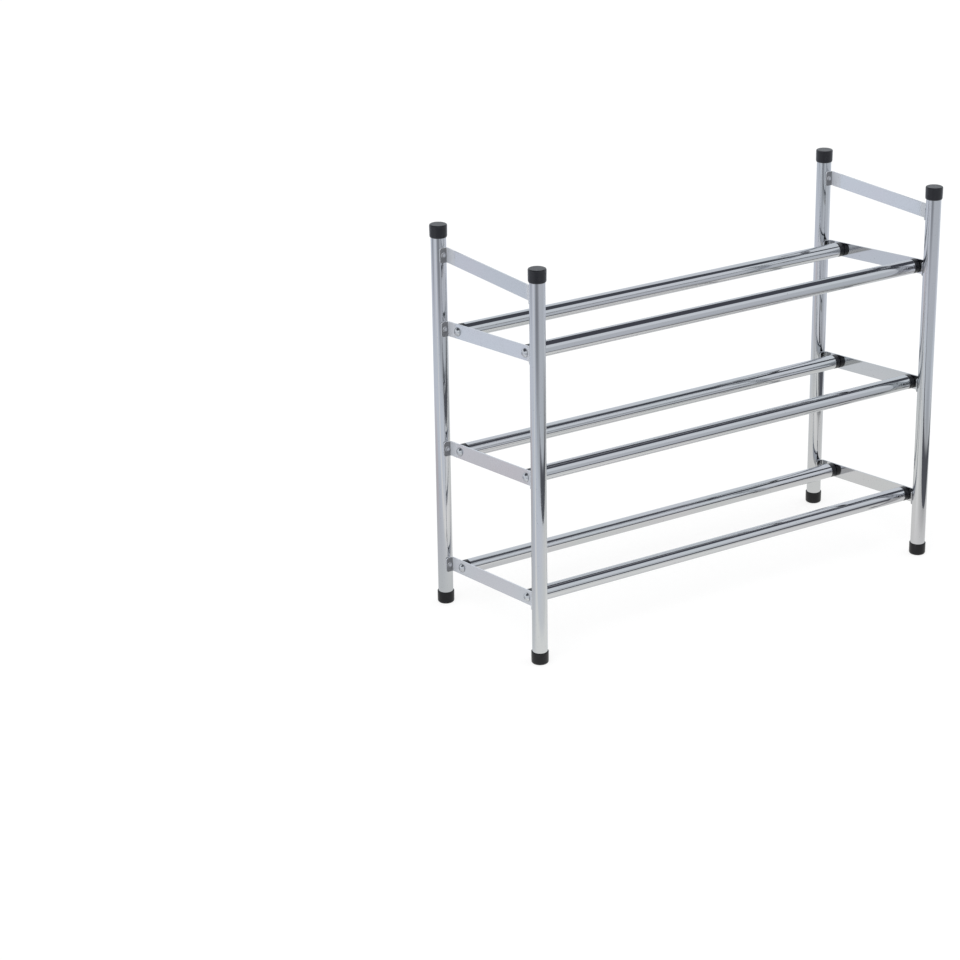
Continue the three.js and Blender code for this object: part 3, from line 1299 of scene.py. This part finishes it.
@dataclass
class EndFrame:
    """One end frame: two uprights with caps and feet, three shelf bars and a top brace."""

    end: End
    finishes: Finishes
    shelf_rise: float = 23 * MILLIMETRE
    foot_rim_radius: float = 10.7 * MILLIMETRE
    foot_closed_radius: float = 10.6 * MILLIMETRE
    foot_edge: float = 2.6 * MILLIMETRE
    foot_rim_edge: float = 0.35 * MILLIMETRE

    def bars(self) -> list[Bar]:
        """The four flat bars of the frame; only the right one's shelf bars have the tubes' finish.

        Returns:
            The shelf bars from the lowest up, then the top brace.
        """
        body = self.end.value
        finish = "bright_bar_chrome" if self.end is End.RIGHT else "bar_chrome"
        bars = []
        for shelf in Shelf:
            name = f"{self.end.word}_{shelf.value}_shelf_bar"
            bars.append(Bar(name, body, "bar_chrome", finish, rise=self.shelf_rise, screwed=True))
        return [*bars, Bar(f"{self.end.word}_top_brace", body, "bar_chrome")]

    def build(self) -> None:
        """Builds the frame's pieces and dresses them."""
        body = self.end.value
        bars = self.bars()
        for bar in bars:
            bar.dress(self.finishes)
        for side in Side:
            name = f"{self.end.word}_{side.word}"
            heights = [bar.level(side.value * bar.flange_face) for bar in bars]
            upright = Upright(f"{name}_upright", body, "upright_chrome", side=side, hole_heights=heights)
            upright.dress(self.finishes)
            Cup(f"{name}_cap", body, "cap_plastic").dress(self.finishes)
            foot = Cup(
                f"{name}_foot",
                body,
                "foot_plastic",
                opens_down=False,
                rim_radius=self.foot_rim_radius,
                closed_radius=self.foot_closed_radius,
                edge=self.foot_edge,
                roll_depth=self.foot_rim_edge,
                roll_height=self.foot_rim_edge,
            )
            foot.dress(self.finishes)


@dataclass
class Rail:
    """One telescoping rail: the wide tube with its bush and plug, the thin tube and two screws."""

    shelf: Shelf
    side: Side
    finishes: Finishes

    def build(self) -> None:
        """Builds the rail's pieces and dresses them."""
        name = f"{self.shelf.value}_{self.side.word}"
        left, right = End.LEFT.value, End.RIGHT.value
        pieces = [
            WideTube(f"{name}_wide_tube", right, "wide_tube_chrome"),
            ThinTube(f"{name}_thin_tube", left, "thin_tube_chrome"),
            MouthBush(f"{name}_mouth_bush", right, "rail_plastic"),
            EndPlug(f"{name}_end_plug", right, "rail_plastic"),
            Screw(f"{name}_left_screw", left, "screw_chrome", toward=1),
            Screw(f"{name}_right_screw", right, "screw_chrome", toward=-1),
        ]
        for piece in pieces:
            piece.dress(self.finishes)


@dataclass
class Viewpoint:
    """The camera: where it stands and how it looks, as angles about the middle of the rack."""

    yaw: float = 31.872
    pitch: float = 21.830
    roll: float = -0.9328
    distance: float = 3.47122
    aim_height: float = 0.250
    right_offset: float = 0.26320
    up_offset: float = 0.10687
    focal_pixels: float = 2743.44
    picture_pixels: int = 960
    sensor: float = 36.0

    def build(self) -> bpy.types.Object:
        """Makes the camera.

        Returns:
            The camera.
        """
        yaw, pitch, roll = (math.radians(angle) for angle in (self.yaw, self.pitch, self.roll))
        flat = math.cos(pitch)
        ahead = Vector((math.sin(yaw) * flat, math.cos(yaw) * flat, -math.sin(pitch)))
        level = Vector((math.cos(yaw), -math.sin(yaw), 0))
        upright = level.cross(ahead)
        right = level * math.cos(roll) + upright * math.sin(roll)
        up = upright * math.cos(roll) - level * math.sin(roll)
        place = UP * self.aim_height - ahead * self.distance
        place -= right * self.right_offset + up * self.up_offset
        data = bpy.data.cameras.new("camera")
        data.sensor_width = self.sensor
        data.lens = self.focal_pixels / self.picture_pixels * self.sensor
        camera = bpy.data.objects.new("camera", data)
        axes = Matrix((right, up, -ahead)).transposed().to_4x4()
        camera.matrix_world = Matrix.Translation(place) @ axes
        bpy.context.scene.camera = link(camera)
        return camera


@dataclass(frozen=True)
class Lamp:
    """A soft lamp far away, which gives the same light everywhere."""

    name: str
    azimuth: float
    elevation: float
    light: float
    softness: float

    def build(self) -> None:
        """Makes the lamp."""
        turn, lift = math.radians(self.azimuth), math.radians(self.elevation)
        flat = math.cos(lift)
        toward = Vector((math.sin(turn) * flat, -math.cos(turn) * flat, math.sin(lift)))
        data = bpy.data.lights.new(self.name, "SUN")
        data.energy = self.light * math.pi
        data.angle = math.radians(self.softness)
        lamp = bpy.data.objects.new(self.name, data)
        lamp.rotation_mode = "QUATERNION"
        lamp.rotation_quaternion = toward.to_track_quat("Z", "Y")
        lamp.visible_glossy = False
        link(lamp)


@dataclass(frozen=True)
class Shade:
    """A soft patch of the studio's floor: round, or a straight band whose width runs along a given way.

    It is full at the inner distance and gone at the outer one. Where the inner distance is the larger of
    the two, it covers all of the floor but a patch.
    """

    middle: Point3
    inner: float
    outer: float
    share: float = 1.0
    across: Optional[Point3] = None
    colour: Colour = (0.075, 0.08, 0.10)

    def mask(self, kit: NodeKit, place: Signal) -> Signal:
        """How strong the patch is at a place.

        Args:
            place: The place on the floor.

        Returns:
            A share from 0 to 1.
        """
        offset = {0: place, 1: self.middle}
        away = kit.signal("ShaderNodeVectorMath", {"operation": "SUBTRACT"}, offset)
        if self.across is None:
            settings = {"operation": "LENGTH"}
            distance = kit.signal("ShaderNodeVectorMath", settings, {0: away}, output="Value")
        else:
            distance = abs(kit.along(away, self.across))
        return distance.rise(self.outer, self.inner) * self.share


@dataclass(frozen=True)
class Fade:
    """A soft edge of a card: along a way, the place where the card is still clear and where it is full."""

    way: Point3
    clear: float
    full: float


@dataclass(frozen=True)
class Card:
    """A flat card with soft edges in the studio, which shows only in reflections."""

    name: str
    corners: tuple[Point3, ...]
    fades: tuple[Fade, ...]
    colour: Colour = SURROUND
    level: float = SURROUND_LEVEL

    def build(self) -> None:
        """Makes the card."""
        card = Shape().face(self.corners).piece(self.name)
        card.visible_camera = False
        card.visible_diffuse = False
        card.visible_shadow = False
        made, kit = empty_material(self.name)
        place = kit.place()
        there: Number = 1.0
        for fade in self.fades:
            there = kit.along(place, fade.way).rise(fade.clear, fade.full) * there
        nothing = kit.signal("ShaderNodeBsdfTransparent")
        glow = kit.signal("ShaderNodeEmission", None, {"Color": self.colour, "Strength": self.level})
        kit.finish(kit.signal("ShaderNodeMixShader", None, {0: there, 1: nothing, 2: glow}))
        card.data.materials.append(made)


def level_corners(reach: float, start: float, end: float, height: float) -> tuple[Point3, ...]:
    """Corners of a level card.

    Args:
        reach: Its reach to the left and to the right.
        start: Its first edge along Y.
        end: Its second edge along Y.
        height: Its height above the floor.

    Returns:
        The corners in order.
    """
    plan = ((-reach, start), (reach, start), (reach, end), (-reach, end))
    return tuple((x, y, height) for x, y in plan)


def upright_corners(left: Point2, right: Point2, height: float) -> tuple[Point3, ...]:
    """Corners of a card that stands on the floor.

    Args:
        left: Its left end on the floor.
        right: Its right end on the floor.
        height: Its height.

    Returns:
        The corners in order.
    """
    return (*left, 0.0), (*right, 0.0), (*right, height), (*left, height)


@dataclass
class Studio:
    """A white studio whose dark ceiling, floor patches and cards show only in reflections."""

    world_light: float = 0.62
    floor_reach: float = 30.0
    floor_colour: Colour = (0.26, 0.26, 0.26)
    floor_bounce: float = 0.15
    floor_glow: float = 0.64
    dark: Colour = (0.085, 0.09, 0.11)
    ceiling_way: Point3 = (-0.10, 0.0, 0.995)
    ceiling_full: float = 0.60
    ceiling_none: float = 0.56
    cards: tuple[Card, ...] = (
        Card(
            "studio_back_card",
            level_corners(reach=6.0, start=0.0, end=3.0, height=0.58),
            (Fade((0.252, 0.968, 0.0), clear=0.137, full=0.163),),
        ),
        Card(
            "studio_side_card",
            level_corners(reach=6.0, start=0.0, end=3.0, height=0.60),
            (Fade((1.0, 0.0, 0.0), clear=0.33, full=0.45),),
        ),
        Card(
            "studio_front_card",
            level_corners(reach=6.0, start=-1.1, end=-6.0, height=2.43),
            (Fade((0.0, -1.0, 0.0), clear=1.22, full=1.57),),
        ),
        Card(
            "studio_low_strip",
            upright_corners(left=(-0.638, -0.802), right=(1.036, 0.095), height=0.10),
            (
                Fade((0.0, 0.0, -1.0), clear=-0.10, full=-0.07),
                Fade((1.0, 0.0, 0.0), clear=-0.60, full=-0.25),
                Fade((-1.0, 0.0, 0.0), clear=-0.97, full=-0.62),
            ),
            colour=(0.13, 0.135, 0.155),
            level=1.0,
        ),
    )
    lamps: tuple[Lamp, ...] = (
        Lamp("key_lamp", azimuth=-55, elevation=52, light=0.32, softness=50),
        Lamp("fill_lamp", azimuth=70, elevation=40, light=0.14, softness=70),
    )
    front_way: Point3 = (0.3, -0.95, -0.1)
    front_from: float = 0.70
    front_to: float = 0.98
    front_loss: float = 0.25
    near: Colour = (1.0, 1.0, 0.975)
    shades: tuple[Shade, ...] = (
        Shade((0.20, 0.0, 0.0), inner=1.0, outer=0.2, colour=(0.86, 0.905, 1.0)),
        Shade((0.0, -12.0, 0.0), inner=11.25, outer=11.50, across=ACROSS, colour=(0.715, 0.75, 0.81)),
        Shade((0.0, -0.15, 0.0), inner=0.02, outer=0.09, across=ACROSS, colour=(1.12, 1.12, 1.10)),
        Shade((0.45, -0.42, 0.0), inner=0.05, outer=0.50, share=0.42),
        Shade((-1.25, -1.20, 0.0), inner=0.10, outer=1.00, share=0.60),
        Shade((-1.65, 1.15, 0.0), inner=0.10, outer=0.85, share=0.50),
        Shade((-0.50, 0.28, 0.0), inner=0.15, outer=0.50, share=0.17, colour=(0.12, 0.10, 0.05)),
        Shade((-0.62, 0.52, 0.0), inner=0.10, outer=0.38, share=0.15, colour=(0.90, 0.40, 0.15)),
    )

    def build(self) -> None:
        """Makes the world, the floor, the cards and the lamps."""
        bpy.context.scene.view_settings.view_transform = "Standard"
        self.world()
        self.floor()
        for item in (*self.cards, *self.lamps):
            item.build()

    def world(self) -> None:
        """Plain light, white for the camera, and in reflections a white surround with a dark ceiling."""
        world = bpy.data.worlds.new("studio_world")
        world.use_nodes = True
        bpy.context.scene.world = world
        kit = NodeKit(world.node_tree)
        camera, glossy = kit.rays()
        way = kit.signal("ShaderNodeTexCoord", output="Generated")
        ceiling = kit.along(way, self.ceiling_way).rise(self.ceiling_none, self.ceiling_full)
        front = kit.along(way, self.front_way).rise(self.front_from, self.front_to)
        level = SURROUND_LEVEL * (1 - front * self.front_loss)
        seen = kit.blend(ceiling, SURROUND, self.dark)
        plain = kit.signal("ShaderNodeBackground", None, {"Color": WHITE, "Strength": self.world_light})
        mirrored = kit.signal("ShaderNodeBackground", None, {"Color": seen, "Strength": level})
        white = kit.signal("ShaderNodeBackground", None, {"Color": WHITE, "Strength": 1.0})
        bright = kit.signal("ShaderNodeMixShader", None, {0: glossy, 1: plain, 2: mirrored})
        shown = kit.signal("ShaderNodeMixShader", None, {0: camera, 1: bright, 2: white})
        kit.finish(shown, "ShaderNodeOutputWorld")

    def floor(self) -> None:
        """A white floor with the rack's soft shadow, and in reflections its patches."""
        reach = self.floor_reach
        corners = level_corners(reach, start=-reach, end=reach, height=0.0)
        floor = Shape().face(corners).piece("studio_floor")
        made, kit = empty_material("studio_floor")
        camera, glossy = kit.rays()
        place = kit.place()
        seen: object = self.near
        for patch in self.shades:
            seen = kit.blend(patch.mask(kit, place), seen, patch.colour)
        matt = kit.signal("ShaderNodeBsdfDiffuse", None, {"Color": self.floor_colour})
        strength = self.floor_bounce + camera * self.floor_glow
        glow = kit.signal("ShaderNodeEmission", None, {"Strength": strength})
        lit = kit.signal("ShaderNodeAddShader", None, {0: matt, 1: glow})
        mirrored = kit.signal("ShaderNodeEmission", None, {"Color": seen, "Strength": 1.0})
        kit.finish(kit.signal("ShaderNodeMixShader", None, {0: glossy, 1: lit, 2: mirrored}))
        floor.data.materials.append(made)


def main() -> None:
    """Builds the camera, the studio, the end frames and the rails."""
    logging.basicConfig(level=logging.INFO, format="%(name)s %(message)s")
    Viewpoint().build()
    Studio().build()
    finishes = Finishes()
    for end in End:
        EndFrame(end, finishes).build()
        log.info("built the %s end frame", end.word)
    for shelf in Shelf:
        for side in Side:
            Rail(shelf, side, finishes).build()
            log.info("built the %s %s rail", shelf.value, side.word)


if __name__ == "__main__":
    main()
